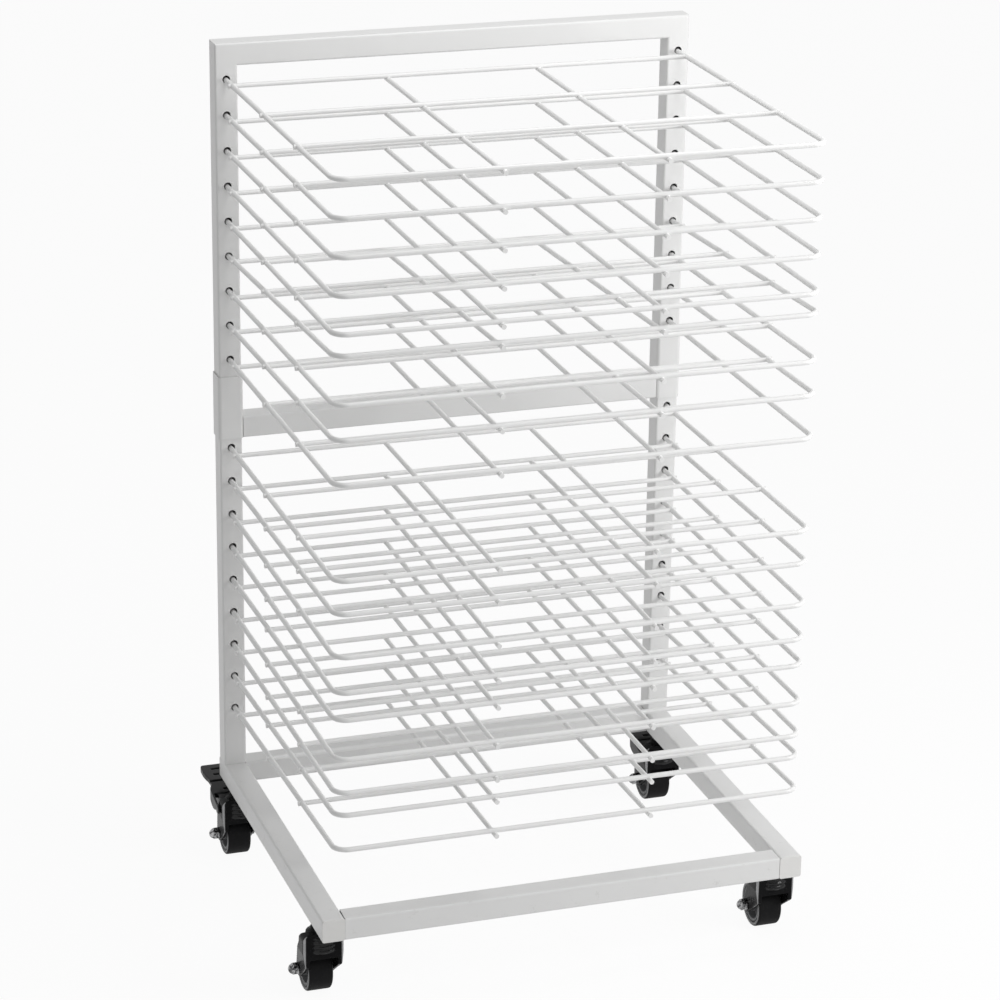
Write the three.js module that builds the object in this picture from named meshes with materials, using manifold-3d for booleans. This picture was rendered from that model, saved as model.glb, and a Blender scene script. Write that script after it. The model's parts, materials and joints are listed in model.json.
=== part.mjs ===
import * as THREE from 'three';
import { mergeVertices } from 'three/addons/utils/BufferGeometryUtils.js';
import Module from 'manifold-3d';

const wasm = await Module();
wasm.setup();

// Sizes are in millimetres. X runs across the rack, Y from front to back, Z up from the floor.
// While the pieces are laid out, Y is zero at the front faces of the uprights.

// Square tube frame
const rack_width = 538;
const tube_size = 25;
const tube_wall = 1.5;
const tube_corner = 2.5;
const sleeve_wall = 1.2;
const fit_gap = 0.3;
const rail_reach = 406;
const joint_socket_length = 72;
const base_spigot_length = 40;
const cap_thickness = 2;
const cap_plug_depth = 10;

// Rows of shelf holes, counted from the top of each upright section
const shelves_per_section = 9;
const shelf_pitch = 39;
const upper_hole_drop = 39;
const upper_hole_foot = 20;
const lower_hole_drop = 10;
const lower_hole_foot = 30;
const hole_diameter = 8.5;
const hole_sides = 8;

// Welded wire shelf
const frame_wire = 5.5;
const cross_wire = 4.5;
const wire_sides = 6;
const shelf_overhang = 10;
const shelf_corner = 15;
const corner_steps = 3;
const wire_tail = 3;
const long_wire_nub = 5.5;
const back_wire_setback = 25;
const weld_sink = 0.3;

// Upward tilt of each shelf in degrees from the top down, as its wires have settled in their holes
const shelf_tilts = [0, 0, 0, 0, 0, 2.2, 0.7, 1, 0, 0, 0.4, -0.6, -0.6, 0.6, 0, 0.2, 2, 2];

// Swivel casters
const caster_height = 90;
const front_caster_setback = 52;
const rear_caster_setback = 37;
const wheel_radius = 26;
const wheel_width = 27;
const wheel_sides = 16;
const wheel_trail = 22;
const wheel_side_gap = 1.5;
const tyre_depth = 5;
const tyre_shoulder = 1.5;
const hub_boss_radius = 8;
const hub_rim_depth = 4;
const hub_web = 8;
const leg_thickness = 3.5;
const leg_flare = 4;
const flare_start = 12;
const flare_end = 24;
const fork_plate = 4;
const fork_front = 14;
const fork_shoulder = 6;
const fork_shoulder_drop = 11;
const fork_web_height = 34.5;
const fork_cup_radius = 18.5;
const fork_cup_height = 23.5;
const fork_corner = 5;
const axle_boss_radius = 9;
const bearing_radius = 16.5;
const bearing_height = 4;
const stem_radius = 5;
const stem_head_radius = 7.5;
const stem_head_height = 3;
const stem_nut_radius = 9.5;
const stem_nut_height = 4;
const stem_depth = 12;
const axle_radius = 4;
const nut_radius = 7.2;
const nut_height = 6;
const nut_dome_radius = 5.8;
const bolt_head_height = 5;

// Brake pedal on the rear casters
const pedal_pivot_drop = 15.5;
const pedal_pin_radius = 3;
const pedal_lug_radius = 5.5;
const pedal_width = 51;
const pedal_cheek_radius = 21.2;
const pedal_cheek_y = 18;
const pedal_cheek_drop = 1.2;
const pedal_cheek_gap = 0.5;
const pedal_cheek_front_angle = 1.15 * Math.PI;
const pedal_cheek_rear_angle = 1.83 * Math.PI;
const pedal_neck_start = 21.5;
const pedal_neck_thickness = 6;
const pedal_waist_start = 38;
const pedal_waist_width = 44;
const pedal_toe_start = 47;
const pedal_toe_end = 80;
const pedal_toe_rise = 4;
const pedal_toe_thickness = 7;
const pedal_groove = 2.5;
const brake_gap = 4.5;

// Heights and positions that follow from the sizes above
const row_height = (shelves_per_section - 1) * shelf_pitch;
const rail_bottom = caster_height;
const rail_top = rail_bottom + tube_size;
const lower_first_hole = rail_top + base_spigot_length + lower_hole_foot;
const seam_height = lower_first_hole + row_height + lower_hole_drop;
const upper_first_hole = seam_height + joint_socket_length + upper_hole_foot;
const rack_height = upper_first_hole + row_height + upper_hole_drop;
const meeting_height = seam_height + joint_socket_length / 2;
const socket_size = tube_size + 2 * (fit_gap + sleeve_wall);
const upright_x = (rack_width - tube_size) / 2;
const upright_y = tube_size / 2;
const rail_x = upright_x;
const rail_rear = upright_y + socket_size / 2;
const wire_flat = (frame_wire / 2) * Math.cos(Math.PI / wire_sides);
const hole_flat = (hole_diameter / 2) * Math.cos(Math.PI / hole_sides);
const wire_sag = hole_flat - wire_flat - fit_gap;

const paint = { color: 0xe9e9e7, roughness: 0.45, metalness: 0 };
const cap_plastic = { color: 0xe2e2df, roughness: 0.55, metalness: 0 };
const black_plastic = { color: 0x17181a, roughness: 0.5, metalness: 0 };
const tyre_rubber = { color: 0x1f2022, roughness: 0.8, metalness: 0 };
const hub_plastic = { color: 0x6d7073, roughness: 0.6, metalness: 0 };
const bright_steel = { color: 0xc2c4c6, roughness: 0.3, metalness: 1 };

// Closed solid from a geometry, ready to be cut or joined
function solid(geometry) {
  const bare = geometry.clone();
  bare.deleteAttribute('normal');
  bare.deleteAttribute('uv');
  const merged = mergeVertices(bare, 1e-4);
  const vertProperties = new Float32Array(merged.attributes.position.array);
  const triVerts = new Uint32Array(merged.index.array);
  return new wasm.Manifold(new wasm.Mesh({ numProp: 3, vertProperties, triVerts }));
}

function piece(name, body, look) {
  const skin = body.getMesh();
  const geometry = new THREE.BufferGeometry();
  geometry.setAttribute('position', new THREE.BufferAttribute(skin.vertProperties, 3));
  geometry.setIndex(new THREE.BufferAttribute(skin.triVerts, 1));
  geometry.computeVertexNormals();
  const mesh = new THREE.Mesh(geometry, new THREE.MeshStandardMaterial(look));
  mesh.name = name;
  return mesh;
}

function extrude(outline, depth, curveSegments = 1) {
  return new THREE.ExtrudeGeometry(outline, { depth, curveSegments, bevelEnabled: false });
}

// Square outline centred on zero, its corners rounded where a radius is given
function squareOutline(size, corner) {
  const half = size / 2;
  const straight = half - corner;
  const outline = new THREE.Shape();
  for (let turn = 0; turn < 4; turn += 1) {
    const angle = (turn * Math.PI) / 2;
    const along = Math.cos(angle + Math.PI / 4) * Math.SQRT2;
    const across = Math.sin(angle + Math.PI / 4) * Math.SQRT2;
    if (corner > 0) {
      outline.absarc(along * straight, across * straight, corner, angle, angle + Math.PI / 2);
    } else if (turn === 0) {
      outline.moveTo(along * half, across * half);
    } else {
      outline.lineTo(along * half, across * half);
    }
  }
  outline.closePath();
  return outline;
}

// Square tube that starts at zero and runs up along Z
function squareTube(size, wall, length) {
  const outline = squareOutline(size, tube_corner);
  outline.holes.push(squareOutline(size - 2 * wall, 0));
  return extrude(outline, length);
}

function tubeAlongX(length) {
  return squareTube(tube_size, tube_wall, length).rotateY(Math.PI / 2).translate(-length / 2, 0, 0);
}

function tubeAlongY(length) {
  return squareTube(tube_size, tube_wall, length).rotateX(-Math.PI / 2);
}

// Round bar along Y, used as a drill through the walls of the tubes
function drill(diameter, sides, start, length) {
  const bar = new THREE.CylinderGeometry(diameter / 2, diameter / 2, length, sides);
  return bar.rotateY(Math.PI / sides).translate(0, start + length / 2, 0);
}

// Wedge that trims a top corner of the frame at 45 degrees, for the upright or for the top bar
function mitreWedge(side, for_upright) {
  const reach = tube_size / 4;
  const plane = rack_height + (for_upright ? -fit_gap : fit_gap) * Math.SQRT1_2;
  const corners = [
    [-reach, plane + reach],
    [tube_size + reach, plane - tube_size - reach],
    for_upright ? [tube_size + reach, plane + reach] : [-reach, plane - tube_size - reach],
  ];
  const points = corners.map(([inward, z]) => new THREE.Vector2(side * (rack_width / 2 - inward), z));
  const wedge = extrude(new THREE.Shape(points), tube_size + 2 * reach);
  return solid(wedge.rotateX(Math.PI / 2).translate(0, tube_size + reach, 0));
}

// One upright section with a wide hole in its front wall and a snug one behind for each shelf wire
function uprightSection(side, bottom, top, first_hole) {
  const x = side * upright_x;
  let body = solid(squareTube(tube_size, tube_wall, top - bottom).translate(x, upright_y, bottom));
  const drill_length = tube_size / 2;
  for (let row = 0; row < shelves_per_section; row += 1) {
    const z = first_hole + row * shelf_pitch;
    const front = drill(hole_diameter, hole_sides, -drill_length / 2, drill_length).translate(x, 0, z);
    const snug = frame_wire + 2 * fit_gap;
    const rear = drill(snug, wire_sides, tube_size - drill_length / 2, drill_length);
    body = body.subtract(solid(front));
    body = body.subtract(solid(rear.translate(x, 0, z - wire_sag)));
  }
  return body;
}

// A wire follows a few chosen stations instead of evenly spaced ones
class WirePath extends THREE.Curve {
  constructor(points, tangents) {
    super();
    this.points = points;
    this.tangents = tangents;
  }

  getPointAt(share, target = new THREE.Vector3()) {
    return target.copy(this.points[Math.round(share * (this.points.length - 1))]);
  }

  getTangentAt(share, target = new THREE.Vector3()) {
    return target.copy(this.tangents[Math.round(share * (this.tangents.length - 1))]);
  }
}

// Six-sided wire with flats above and below, so that stacked wires meet on flat faces
function wire(diameter, points, tangents) {
  const outline = new THREE.Shape();
  for (let side = 0; side < wire_sides; side += 1) {
    const angle = ((side + 0.5) * 2 * Math.PI) / wire_sides;
    const x = (diameter / 2) * Math.cos(angle);
    const y = (diameter / 2) * Math.sin(angle);
    if (side === 0) {
      outline.moveTo(x, y);
    } else {
      outline.lineTo(x, y);
    }
  }
  outline.closePath();
  const extrudePath = new WirePath(points, tangents);
  return solid(new THREE.ExtrudeGeometry(outline, { extrudePath, steps: points.length - 1 }));
}

function straightWire(diameter, start, end) {
  const tangent = end.clone().sub(start).normalize();
  return wire(diameter, [start, end], [tangent, tangent]);
}

// One shelf: the bent frame wire, three wires across and two wires lengthwise below them
function shelfBody() {
  const front_y = -rail_reach - shelf_overhang;
  const points = [new THREE.Vector3(-upright_x, tube_size + wire_tail, 0)];
  const tangents = [new THREE.Vector3(0, -1, 0)];
  for (const side of [-1, 1]) {
    const centre_x = side * (upright_x - shelf_corner);
    for (let step = 0; step <= corner_steps; step += 1) {
      const angle = Math.PI + ((step / corner_steps + (side > 0 ? 1 : 0)) * Math.PI) / 2;
      const x = centre_x + shelf_corner * Math.cos(angle);
      const y = front_y + shelf_corner + shelf_corner * Math.sin(angle);
      points.push(new THREE.Vector3(x, y, 0));
      tangents.push(new THREE.Vector3(-Math.sin(angle), Math.cos(angle), 0));
    }
  }
  points.push(new THREE.Vector3(upright_x, tube_size + wire_tail, 0));
  tangents.push(new THREE.Vector3(0, 1, 0));
  let body = wire(frame_wire, points, tangents);

  const cross_flat = (cross_wire / 2) * Math.cos(Math.PI / wire_sides);
  const long_z = weld_sink - 2 * cross_flat;
  const cross_step = (-front_y - back_wire_setback) / 3;
  for (let row = 0; row < 3; row += 1) {
    const y = -back_wire_setback - row * cross_step;
    const left = new THREE.Vector3(-upright_x, y, 0);
    const right = new THREE.Vector3(upright_x, y, 0);
    body = body.add(straightWire(cross_wire, left, right));
  }
  for (const side of [-1, 1]) {
    const x = (side * upright_x) / 3;
    const back = new THREE.Vector3(x, -back_wire_setback + cross_wire, long_z);
    const front = new THREE.Vector3(x, front_y - frame_wire / 2 - long_wire_nub, long_z);
    body = body.add(straightWire(cross_wire, back, front));
  }
  return body;
}

// Frame of square tubes, welded at the corners and plugged at the rail ends
const frame = new THREE.Group();
frame.name = 'frame';

const top_bar = tubeAlongX(rack_width).translate(0, upright_y, rack_height - tube_size / 2);
const top_bar_body = solid(top_bar).subtract(mitreWedge(-1, false)).subtract(mitreWedge(1, false));
frame.add(piece('top_bar', top_bar_body, paint));

const crossbar_length = 2 * upright_x - socket_size;
const crossbar = tubeAlongX(crossbar_length).translate(0, upright_y, seam_height + tube_size / 2);
frame.add(piece('middle_crossbar', solid(crossbar), paint));

const base_bar_length = 2 * rail_x - tube_size;
const base_bar_z = rail_bottom + tube_size / 2;
const front_bar = tubeAlongX(base_bar_length).translate(0, tube_size / 2 - rail_reach, base_bar_z);
frame.add(piece('front_bar', solid(front_bar), paint));
const rear_bar = tubeAlongX(base_bar_length).translate(0, rail_rear - tube_size / 2, base_bar_z);
frame.add(piece('rear_base_bar', solid(rear_bar), paint));

// Plug that closes one end of a rail, its flange flush with the sides of the tube
function endCap(x, y, inward) {
  const flange = extrude(squareOutline(tube_size, tube_corner), cap_thickness);
  const plug_size = tube_size - 2 * (tube_wall + fit_gap);
  const plug = extrude(squareOutline(plug_size, 0), cap_plug_depth);
  const body = solid(flange).add(solid(plug));
  const turned = body.rotate([inward > 0 ? -90 : 90, 0, 0]);
  return turned.translate([x, y, rail_bottom + tube_size / 2]);
}

const front_stem_y = front_caster_setback - rail_reach;
const rear_stem_y = rail_rear - rear_caster_setback;

for (const [side_name, side] of [['left', -1], ['right', 1]]) {
  const upper_bottom = meeting_height + fit_gap / 2;
  const upper = uprightSection(side, upper_bottom, rack_height, upper_first_hole);
  frame.add(piece(`upper_upright_${side_name}`, upper.subtract(mitreWedge(side, true)), paint));
  const lower_top = meeting_height - fit_gap / 2;
  const lower = uprightSection(side, rail_top, lower_top, lower_first_hole);
  frame.add(piece(`lower_upright_${side_name}`, lower, paint));

  const joint_socket = squareTube(socket_size, sleeve_wall, joint_socket_length);
  joint_socket.translate(side * upright_x, upright_y, seam_height);
  frame.add(piece(`joint_socket_${side_name}`, solid(joint_socket), paint));
  const spigot_size = tube_size - 2 * (tube_wall + fit_gap);
  const base_spigot = squareTube(spigot_size, tube_wall, base_spigot_length);
  base_spigot.translate(side * upright_x, upright_y, rail_top);
  frame.add(piece(`base_spigot_${side_name}`, solid(base_spigot), paint));

  const rail_length = rail_rear + rail_reach - 2 * cap_thickness;
  const rail = tubeAlongY(rail_length);
  rail.translate(side * rail_x, cap_thickness - rail_reach, rail_bottom + tube_size / 2);
  let rail_body = solid(rail);
  for (const stem_y of [front_stem_y, rear_stem_y]) {
    const bore_radius = stem_radius + fit_gap;
    const bore = new THREE.CylinderGeometry(bore_radius, bore_radius, tube_size / 2, 10);
    bore.rotateX(Math.PI / 2).translate(side * rail_x, stem_y, rail_bottom);
    rail_body = rail_body.subtract(solid(bore));
  }
  frame.add(piece(`side_rail_${side_name}`, rail_body, paint));
  frame.add(piece(`rail_cap_front_${side_name}`, endCap(side * rail_x, -rail_reach, 1), cap_plastic));
  frame.add(piece(`rail_cap_rear_${side_name}`, endCap(side * rail_x, rail_rear, -1), cap_plastic));
}

// Shelves, numbered from the top. Each turns a little about the rear walls that hold its wires.
const shelves = new THREE.Group();
shelves.name = 'shelves';
const shelf_body = shelfBody();
const grip_y = tube_size - tube_wall / 2;
for (let number = 1; number <= 2 * shelves_per_section; number += 1) {
  const in_upper = number <= shelves_per_section;
  const row = (in_upper ? shelves_per_section : 2 * shelves_per_section) - number;
  const hole_z = (in_upper ? upper_first_hole : lower_first_hole) + row * shelf_pitch;
  const tilt = shelf_tilts[(number - 1) % shelf_tilts.length];
  const tilted = shelf_body.translate([0, -grip_y, 0]).rotate([-tilt, 0, 0]);
  const placed = tilted.translate([0, grip_y, hole_z - wire_sag]);
  shelves.add(piece(`wire_shelf_${String(number).padStart(2, '0')}`, placed, paint));
}

// Casters are laid out around their stems: X across the fork, Y toward the trailing wheel
const axle_z = wheel_radius * Math.cos(Math.PI / wheel_sides);
const fork_top = caster_height - stem_nut_height - bearing_height - fit_gap;
const axle_inner = wheel_width / 2 + wheel_side_gap;
const axle_outer = axle_inner + leg_thickness;
const fork_inner = axle_inner + leg_flare;
const fork_outer = fork_inner + leg_thickness;
const pivot_z = fork_top - pedal_pivot_drop;

// Outline in the side view, extruded across the caster and centred on it
function sideProfile(outline, width, curve_segments) {
  const turn = new THREE.Matrix4().set(0, 0, 1, -width / 2, 1, 0, 0, 0, 0, 1, 0, 0, 0, 0, 0, 1);
  return extrude(outline, width, curve_segments).applyMatrix4(turn);
}

function barAlongX(radius, length, sides) {
  return new THREE.CylinderGeometry(radius, radius, length, sides).rotateZ(Math.PI / 2);
}

// Ring turned about the axle from the outline of its right half, a flat of its rim facing the floor
function turnedAlongX(half) {
  const left = half.map(([radius, x]) => new THREE.Vector2(radius, -x));
  const right = half.map(([radius, x]) => new THREE.Vector2(radius, x)).reverse();
  const points = [...left, ...right, left[0]];
  const ring = new THREE.LatheGeometry(points, wheel_sides, Math.PI / wheel_sides);
  return solid(ring.rotateZ(-Math.PI / 2));
}

// Outline in the front view that widens from the axle up to the plate, extruded along the caster
function flaredProfile(low_half, high_half, top, corner, front, length) {
  const bottom = axle_z - 2 * axle_boss_radius;
  const corners = [
    [low_half, bottom],
    [low_half, axle_z + flare_start],
    [high_half, axle_z + flare_end],
    [high_half, top - corner],
    [high_half - corner, top],
  ];
  const right = corners.map(([x, z]) => new THREE.Vector2(x, z));
  const left = corners.map(([x, z]) => new THREE.Vector2(-x, z)).reverse();
  const block = extrude(new THREE.Shape([...right, ...left]), length);
  return solid(block.rotateX(Math.PI / 2).translate(0, front + length, 0));
}

// Fork: two legs that flare up to a round plate, a web with a bearing cup in front and a ring on top
function forkBody(with_pedal) {
  const web_foot = fork_top - fork_web_height;
  const outline = new THREE.Shape();
  outline.moveTo(-fork_front, fork_top - 2);
  outline.lineTo(-fork_front, web_foot);
  const slope = Math.atan2(web_foot - axle_z, wheel_trail + fork_front);
  const boss_start = -Math.PI / 2 - slope;
  outline.absarc(wheel_trail, axle_z, axle_boss_radius, boss_start, 0.15 * Math.PI);
  outline.lineTo(fork_shoulder, fork_top - fork_shoulder_drop);
  outline.lineTo(fork_shoulder - 4, fork_top);
  outline.lineTo(2 - fork_front, fork_top);
  outline.closePath();
  let body = solid(sideProfile(outline, 2 * fork_outer, 3));
  const length = 2 * (fork_front + wheel_trail + wheel_radius);
  body = body.intersect(flaredProfile(axle_outer, fork_outer, fork_top, fork_corner, -length / 2, length));
  const cup = new THREE.CylinderGeometry(fork_cup_radius, fork_cup_radius, fork_cup_height, 20);
  cup.rotateX(Math.PI / 2).translate(0, 0, fork_top - fork_cup_height / 2);
  body = body.add(solid(cup));
  const room_front = leg_thickness - fork_front;
  const room_top = fork_top - fork_plate;
  body = body.subtract(flaredProfile(axle_inner, fork_inner, room_top, 1, room_front, length));
  const plate = new THREE.CylinderGeometry(fork_cup_radius, fork_cup_radius, fork_plate, 20);
  plate.rotateX(Math.PI / 2).translate(0, 0, fork_top - fork_plate / 2);
  body = body.add(solid(plate));
  const ring = new THREE.CylinderGeometry(bearing_radius, bearing_radius, bearing_height + 1, 16);
  ring.rotateX(Math.PI / 2).translate(0, 0, fork_top + (bearing_height - 1) / 2);
  body = body.add(solid(ring));
  const bore_radius = stem_radius + fit_gap;
  const bore = new THREE.CylinderGeometry(bore_radius, bore_radius, 4 * fork_plate, 10);
  body = body.subtract(solid(bore.rotateX(Math.PI / 2).translate(0, 0, fork_top)));
  const axle_bore = barAlongX(axle_radius + fit_gap, 3 * fork_outer, 10);
  body = body.subtract(solid(axle_bore.translate(0, wheel_trail, axle_z)));
  if (with_pedal) {
    const pin_bore = barAlongX(pedal_pin_radius + fit_gap, 3 * fork_outer, 10);
    body = body.subtract(solid(pin_bore.translate(0, 0, pivot_z)));
  }
  return body;
}

// Stem: rivet head below the fork plate, nut against the rail, shank inside the rail
function stemBody() {
  const plate_bottom = fork_top - fork_plate - fit_gap;
  const shank_top = caster_height + tube_wall + stem_depth;
  const profile = [
    [0, plate_bottom - stem_head_height],
    [stem_head_radius - 1, plate_bottom - stem_head_height],
    [stem_head_radius, plate_bottom - stem_head_height + 1],
    [stem_head_radius, plate_bottom],
    [stem_radius, plate_bottom],
    [stem_radius, shank_top],
    [0, shank_top],
  ];
  const points = profile.map(([radius, z]) => new THREE.Vector2(radius, z));
  const shank = new THREE.LatheGeometry(points, 10).rotateX(Math.PI / 2);
  const nut = new THREE.CylinderGeometry(stem_nut_radius, stem_nut_radius, stem_nut_height, 6);
  nut.rotateX(Math.PI / 2).translate(0, 0, caster_height - stem_nut_height / 2);
  return solid(shank).add(solid(nut));
}

// Axle bolt: shank through both legs, hexagon head on one side and a domed nut on the other
function axleBody() {
  const face = axle_outer + fit_gap;
  const shank = barAlongX(axle_radius, 2 * face + nut_height, 10);
  const head = barAlongX(nut_radius, bolt_head_height, 6);
  head.translate(face + bolt_head_height / 2, 0, 0);
  const nut = barAlongX(nut_radius, nut_height, 6).translate(-face - nut_height / 2, 0, 0);
  const dome_profile = [[0, 0]];
  for (let step = 0; step <= 3; step += 1) {
    const angle = (step * Math.PI) / 6;
    const radius = step === 3 ? 0 : nut_dome_radius * Math.cos(angle);
    dome_profile.push([radius, nut_dome_radius * Math.sin(angle)]);
  }
  const dome_points = dome_profile.map(([radius, x]) => new THREE.Vector2(radius, x));
  const dome = new THREE.LatheGeometry(dome_points, 10).rotateZ(Math.PI / 2);
  dome.translate(1 - face - nut_height, 0, 0);
  let body = solid(shank).add(solid(head));
  body = body.add(solid(nut)).add(solid(dome));
  return body.translate([0, wheel_trail, axle_z]);
}

function hubBody() {
  const rim_radius = wheel_radius - tyre_depth - fit_gap;
  const rim_half = wheel_width / 2 - 1;
  const boss_half = axle_inner - fit_gap;
  const bore_radius = axle_radius + fit_gap;
  const rim_inner = rim_radius - hub_rim_depth;
  const half = [
    [bore_radius, boss_half],
    [hub_boss_radius, boss_half],
    [rim_inner, hub_web / 2],
    [rim_inner, rim_half],
    [rim_radius, rim_half],
  ];
  return turnedAlongX(half).translate([0, wheel_trail, axle_z]);
}

function tyreBody() {
  const inner = wheel_radius - tyre_depth;
  const half_width = wheel_width / 2;
  const half = [
    [inner, half_width - 1],
    [inner + 1, half_width],
    [wheel_radius - tyre_shoulder, half_width],
    [wheel_radius, half_width - tyre_shoulder],
  ];
  return turnedAlongX(half).translate([0, wheel_trail, axle_z]);
}

// Pedal: rounded cheeks outside the legs, a neck that slopes up to a grooved toe, and on the same pin
// an arm between the legs with a curved face above the tyre
function pedalBody() {
  const toe_foot = fork_top - pedal_neck_thickness;
  const toe_top = fork_top + pedal_toe_rise;
  const toe_bottom = toe_top - pedal_toe_thickness;
  const cheek_z = fork_top - pedal_cheek_drop;
  const front_y = pedal_cheek_y + pedal_cheek_radius * Math.cos(pedal_cheek_front_angle);
  const front_z = cheek_z + pedal_cheek_radius * Math.sin(pedal_cheek_front_angle);
  const neck_slope = (fork_top - front_z) / (pedal_toe_start - front_y);
  const neck_top = fork_top - neck_slope * (pedal_toe_start - pedal_neck_start);
  const neck_bottom = neck_top - pedal_neck_thickness;

  const cheek = new THREE.Shape();
  cheek.moveTo(pedal_toe_start, fork_top);
  cheek.absarc(pedal_cheek_y, cheek_z, pedal_cheek_radius, pedal_cheek_front_angle, pedal_cheek_rear_angle);
  cheek.lineTo(pedal_toe_start + 1, toe_foot);
  cheek.lineTo(pedal_toe_start + 1, fork_top);
  cheek.closePath();
  let body = solid(sideProfile(cheek, pedal_width, 4));
  const lug = barAlongX(pedal_lug_radius, pedal_width, 12);
  body = body.add(solid(lug.translate(0, 0, pivot_z)));
  const waist_length = pedal_toe_start - pedal_waist_start;
  const side = new THREE.BoxGeometry(pedal_width, waist_length, 2 * fork_top);
  side.translate((pedal_width + pedal_waist_width) / 2, pedal_waist_start + waist_length / 2, fork_top);
  const side_cut = solid(side);
  body = body.subtract(side_cut).subtract(side_cut.mirror([1, 0, 0]));

  const room = new THREE.Shape();
  room.moveTo(-fork_front, 0);
  room.lineTo(pedal_toe_start, 0);
  room.lineTo(pedal_toe_start, toe_foot);
  room.lineTo(pedal_neck_start, neck_bottom);
  room.lineTo(pedal_neck_start, 2 * fork_top);
  room.lineTo(-fork_front, 2 * fork_top);
  room.closePath();
  const room_width = 2 * (fork_outer + pedal_cheek_gap);
  body = body.subtract(solid(sideProfile(room, room_width, 1)));

  const arm = new THREE.Shape();
  arm.absarc(0, pivot_z, pedal_lug_radius, Math.PI / 2, 1.75 * Math.PI);
  arm.lineTo(wheel_trail + wheel_radius / 3, axle_z + wheel_radius);
  arm.lineTo(pedal_toe_start, toe_foot);
  arm.lineTo(pedal_toe_start, fork_top - 1);
  arm.lineTo(pedal_neck_start, neck_top - 1);
  arm.closePath();
  const arm_width = 2 * (fork_inner - fit_gap);
  body = body.add(solid(sideProfile(arm, arm_width, 3)));

  const toe = new THREE.Shape();
  toe.moveTo(pedal_toe_start, toe_foot);
  toe.lineTo(pedal_toe_end - 2, toe_bottom);
  toe.lineTo(pedal_toe_end, toe_bottom + 2);
  toe.lineTo(pedal_toe_end, toe_top);
  const tread = (pedal_toe_end - pedal_toe_start) / 3;
  for (const share of [2, 1]) {
    const groove_y = pedal_toe_start + share * tread;
    const groove_z = fork_top + (pedal_toe_rise * share) / 3;
    toe.lineTo(groove_y + pedal_groove / 2, groove_z);
    toe.lineTo(groove_y, groove_z - pedal_groove);
    toe.lineTo(groove_y - pedal_groove / 2, groove_z);
  }
  toe.lineTo(pedal_toe_start, fork_top);
  toe.closePath();
  body = body.add(solid(sideProfile(toe, pedal_width, 1)));

  const pin = barAlongX(pedal_pin_radius, pedal_width, 10);
  body = body.add(solid(pin.translate(0, 0, pivot_z)));
  const sweep = barAlongX(wheel_radius + brake_gap, 2 * fork_inner, 2 * wheel_sides);
  body = body.subtract(solid(sweep.translate(0, wheel_trail, axle_z)));
  return body;
}

const casters = new THREE.Group();
casters.name = 'casters';
for (const [side_name, side] of [['left', -1], ['right', 1]]) {
  for (const [end_name, stem_y] of [['front', front_stem_y], ['rear', rear_stem_y]]) {
    const place = `${end_name}_${side_name}`;
    const has_pedal = end_name === 'rear';
    const caster = new THREE.Group();
    caster.name = `caster_${place}`;
    caster.position.set(side * rail_x, stem_y, 0);
    caster.add(piece(`caster_stem_${place}`, stemBody(), bright_steel));
    caster.add(piece(`caster_fork_${place}`, forkBody(has_pedal), black_plastic));
    caster.add(piece(`axle_bolt_${place}`, axleBody(), bright_steel));
    caster.add(piece(`wheel_hub_${place}`, hubBody(), hub_plastic));
    caster.add(piece(`wheel_tyre_${place}`, tyreBody(), tyre_rubber));
    if (has_pedal) {
      caster.add(piece(`brake_pedal_${place}`, pedalBody(), black_plastic));
    }
    casters.add(caster);
  }
}

// The finished rack stands with the centre of its outline over the origin
const nut_reach = axle_outer + fit_gap + nut_height + nut_dome_radius - 1;
const head_reach = axle_outer + fit_gap + bolt_head_height;
const left_reach = rail_x + Math.max(nut_reach, fork_outer, pedal_width / 2);
const right_reach = rail_x + Math.max(head_reach, fork_outer, pedal_width / 2);
const front_reach = rail_reach + shelf_overhang + frame_wire / 2 + long_wire_nub;
const back_reach = rear_stem_y + pedal_toe_end;
const rack = new THREE.Group();
rack.name = 'art_drying_rack';
rack.add(frame, shelves, casters);
rack.position.set((left_reach - right_reach) / 2, (front_reach - back_reach) / 2, 0);

export default rack;
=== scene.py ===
import json
import math

import bmesh
import bpy
from mathutils import Matrix, Vector

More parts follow.
